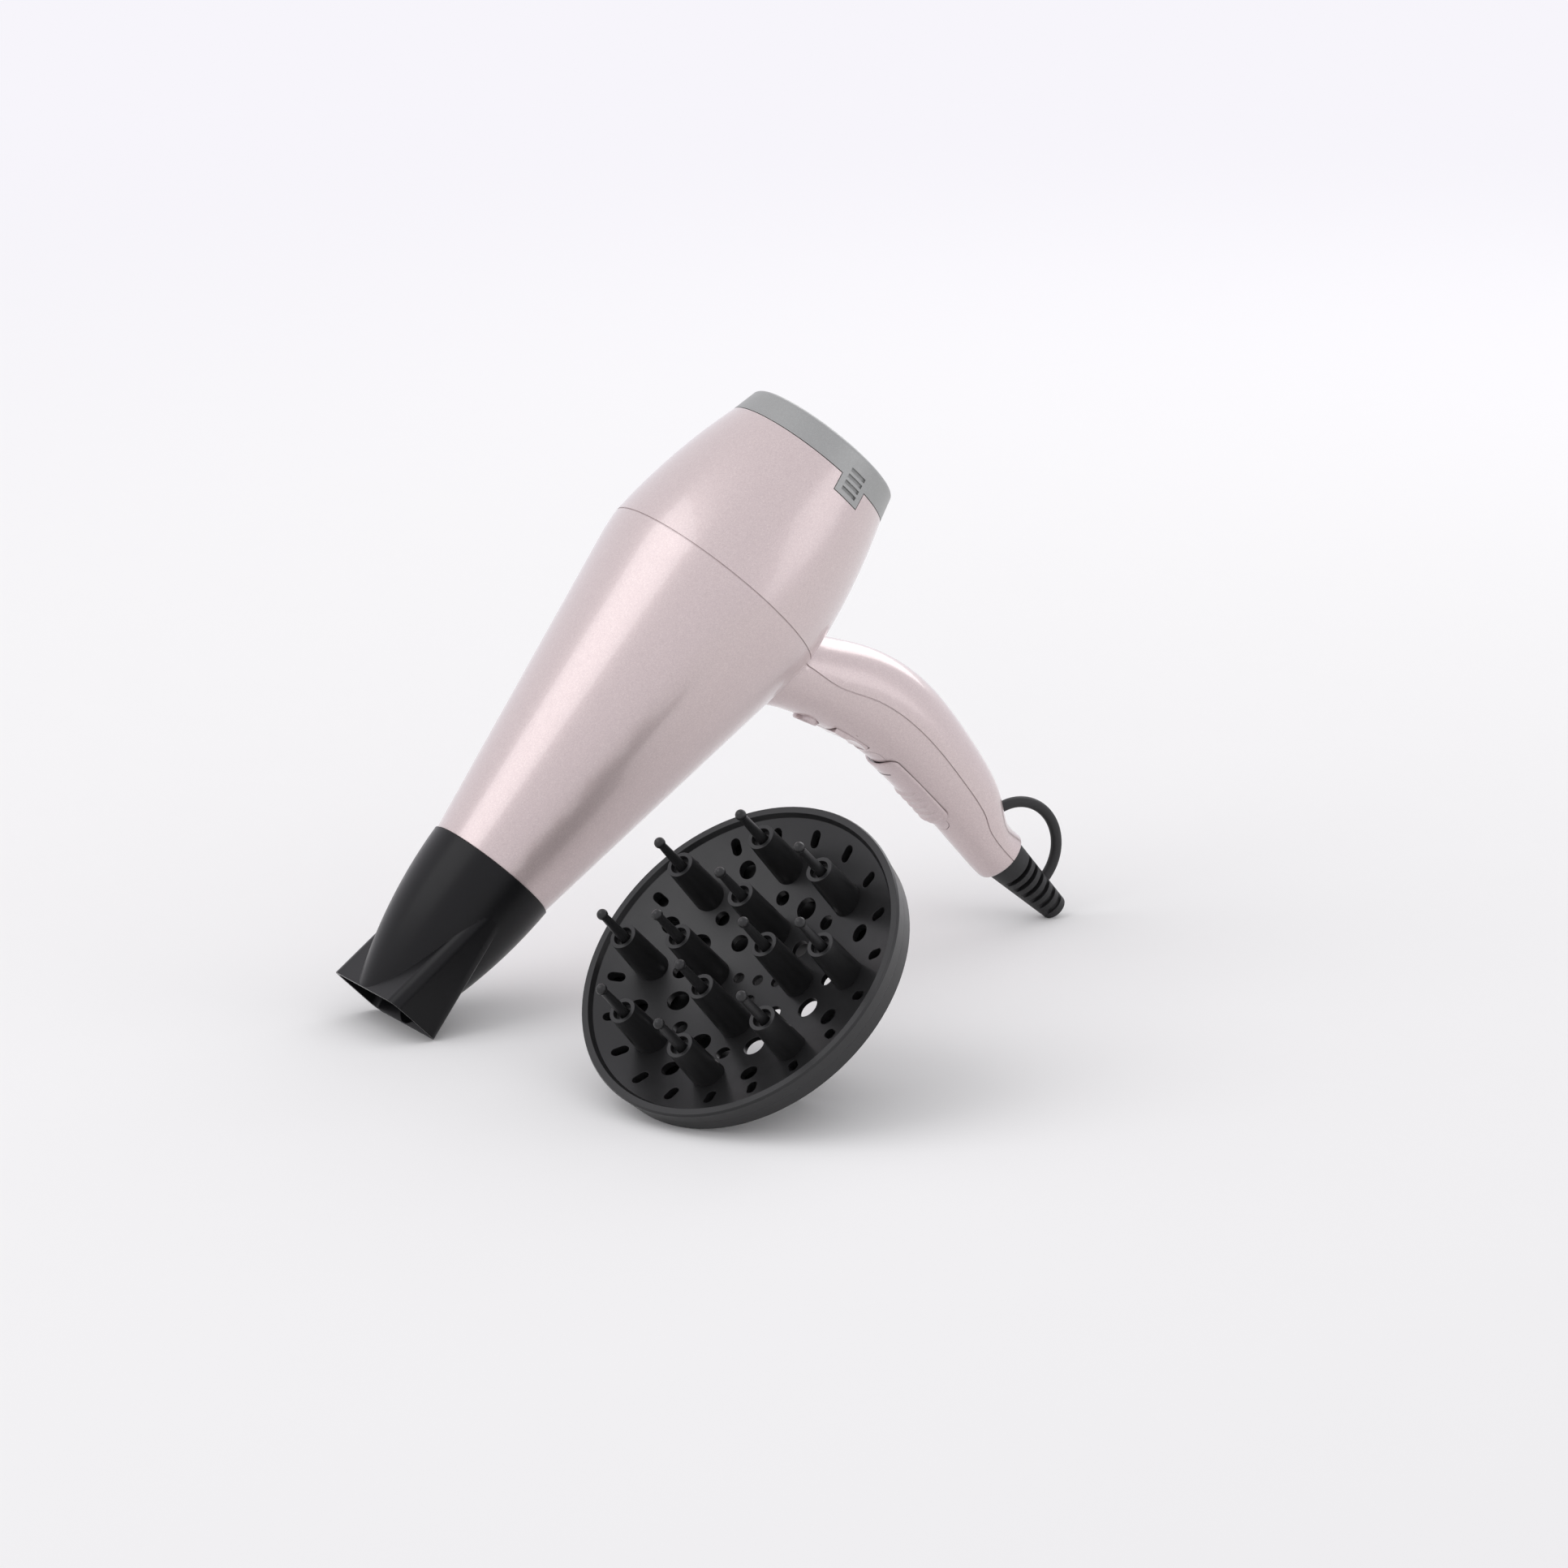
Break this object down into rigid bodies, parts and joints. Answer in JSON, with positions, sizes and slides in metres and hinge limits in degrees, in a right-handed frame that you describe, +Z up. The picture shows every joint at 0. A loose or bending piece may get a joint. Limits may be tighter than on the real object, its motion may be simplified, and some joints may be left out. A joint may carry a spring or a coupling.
{
  "type": "hair dryer",
  "caption": "Handheld hair dryer with tapered barrel, bent handle, turning concentrator nozzle, removable rear cap and a separate bowl diffuser with fingers.",
  "frame": {"origin": "bottom centre of the box round the dryer and its diffuser, on the surface that both stand on", "axes": "+X from the nozzle's mouth to the cord guard along the surface, +Z up, +Y from the diffuser to the dryer"},
  "size_m": [0.3142, 0.2573, 0.2278],
  "materials": {
    "pearl_pink": "pearl, glossy",
    "pink_control": "satin gloss",
    "grey_satin": "satin",
    "steel_gauze": "fine gauze",
    "black_plastic": "satin",
    "diffuser_black": "matte",
    "black_rubber": "matte",
    "white_plastic": "moulded",
    "steel": "plain",
    "core_iron": "plain",
    "bush_brass": "sintered",
    "mica": "sheet mica",
    "coil_wire": "resistance wire",
    "board_green": "board"
  },
  "bodies": {
    "dryer": {"front_shell": "pearl_pink", "rear_shell": "pearl_pink", "switch_plate": "pink_control", "cord_guard": "black_rubber", "intake_guard": "black_plastic", "outlet_grille": "black_plastic", "motor_can": "steel", "motor_magnets": "core_iron", "motor_end_cap": "white_plastic", "motor_bushes": "bush_brass", "air_duct": "white_plastic", "heater_sleeve": "mica", "heater_frame": "mica", "heater_coil": "coil_wire", "thermostat": "white_plastic", "switch_board": "board_green", "slide_switch": "black_plastic", "rocker_switch": "black_plastic", "cool_shot_switch": "black_plastic", "cord_clamp": "white_plastic", "clamp_screws": "steel", "shell_screws": "steel"},
    "rotor": {"fan": "white_plastic", "motor_shaft": "steel", "armature": "core_iron"},
    "nozzle": {"nozzle": "black_plastic"},
    "rear_cap": {"rear_cap": "grey_satin", "inlet_grille": "grey_satin", "filter_mesh": "steel_gauze"},
    "slider": {"slider": "pink_control"},
    "rocker": {"rocker": "pink_control"},
    "cool_shot_button": {"cool_shot_button": "pink_control"},
    "diffuser": {"diffuser_plate": "diffuser_black", "diffuser_fingers": "diffuser_black", "diffuser_bell": "diffuser_black"}
  },
  "joints": [
    {"name": "fan_spin", "type": "hinge", "parent": "dryer", "child": "rotor", "pos_m": [0.01778, 0.0816, 0.17723], "axis": [0.7019, 0, 0.7123], "continuous": true},
    {"name": "nozzle_turn", "type": "hinge", "parent": "dryer", "child": "nozzle", "pos_m": [-0.10645, 0.0816, 0.05115], "axis": [0.7019, 0, 0.7123], "continuous": true},
    {"name": "cap_pull", "type": "slide", "parent": "dryer", "child": "rear_cap", "axis": [0.7019, 0, 0.7123], "range_m": [0, 0.03]},
    {"name": "slider_move", "type": "slide", "parent": "dryer", "child": "slider", "axis": [0.7123, 0, -0.7019], "range_m": [-0.005, 0.005]},
    {"name": "rocker_tilt", "type": "hinge", "parent": "dryer", "child": "rocker", "pos_m": [0.05621, 0.0816, 0.09099], "axis": [0, 1, 0], "range_deg": [-5, 5]},
    {"name": "cool_shot_press", "type": "slide", "parent": "dryer", "child": "cool_shot_button", "axis": [0.4474, 0, 0.8943], "range_m": [0, 0.0018], "stiffness_N_per_m": 400, "springref_m": -0.001},
    {"name": "diffuser_lift", "type": "slide", "parent": "dryer", "child": "diffuser", "axis": [0, 0, 1], "range_m": [0, 0.12]}
  ]
}
